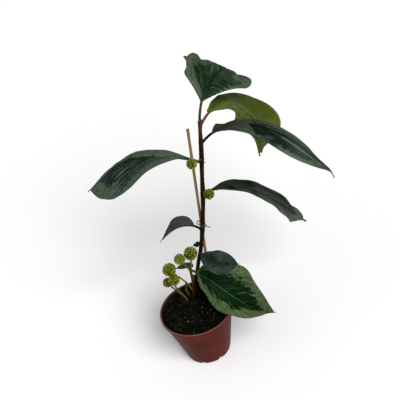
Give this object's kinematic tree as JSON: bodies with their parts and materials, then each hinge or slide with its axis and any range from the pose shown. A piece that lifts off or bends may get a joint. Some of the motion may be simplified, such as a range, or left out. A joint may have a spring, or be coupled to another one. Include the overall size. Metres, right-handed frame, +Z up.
{
  "type": "potted plant",
  "caption": "Potted foliage plant: staked leaning stem with long tapering leaves and small round flower heads, in a round tapered nursery pot of soil.",
  "frame": {"origin": "centre of the pot's flat bottom, on its underside", "axes": "+Z up along the pot's axis, -Y towards the viewer of the picture, +X to the right"},
  "size_m": [0.2151, 0.1436, 0.2637],
  "materials": {
    "pot": "thin moulded plastic with a soft sheen",
    "soil": "loose dark potting soil",
    "stem": "red-brown woody stem",
    "wood": "plain split cane",
    "wire": "thin plastic-coated wire",
    "green_stalk": "soft green stalk",
    "leaf": "dark quilted leaf with a pale margin",
    "young_leaf": "young olive leaf",
    "flower_head": "dense small florets"
  },
  "bodies": {
    "root": {"pot": "pot", "soil": "soil", "main_stem": "stem", "side_shoot": "stem", "stake": "wood", "wire_tie": "wire", "basal_stalk_1": "green_stalk", "basal_stalk_2": "green_stalk", "basal_stalk_3": "green_stalk", "leaf_01": "leaf", "leaf_02": "young_leaf", "leaf_03": "leaf", "leaf_04": "leaf", "leaf_05": "leaf", "leaf_06": "leaf", "leaf_07": "leaf", "leaf_08": "leaf", "leaf_09": "leaf", "leaf_10": "leaf", "head_1": "flower_head", "head_2": "flower_head", "head_3": "flower_head", "head_4": "flower_head", "head_5": "flower_head", "head_6": "flower_head", "head_7": "flower_head"}
  },
  "joints": []
}
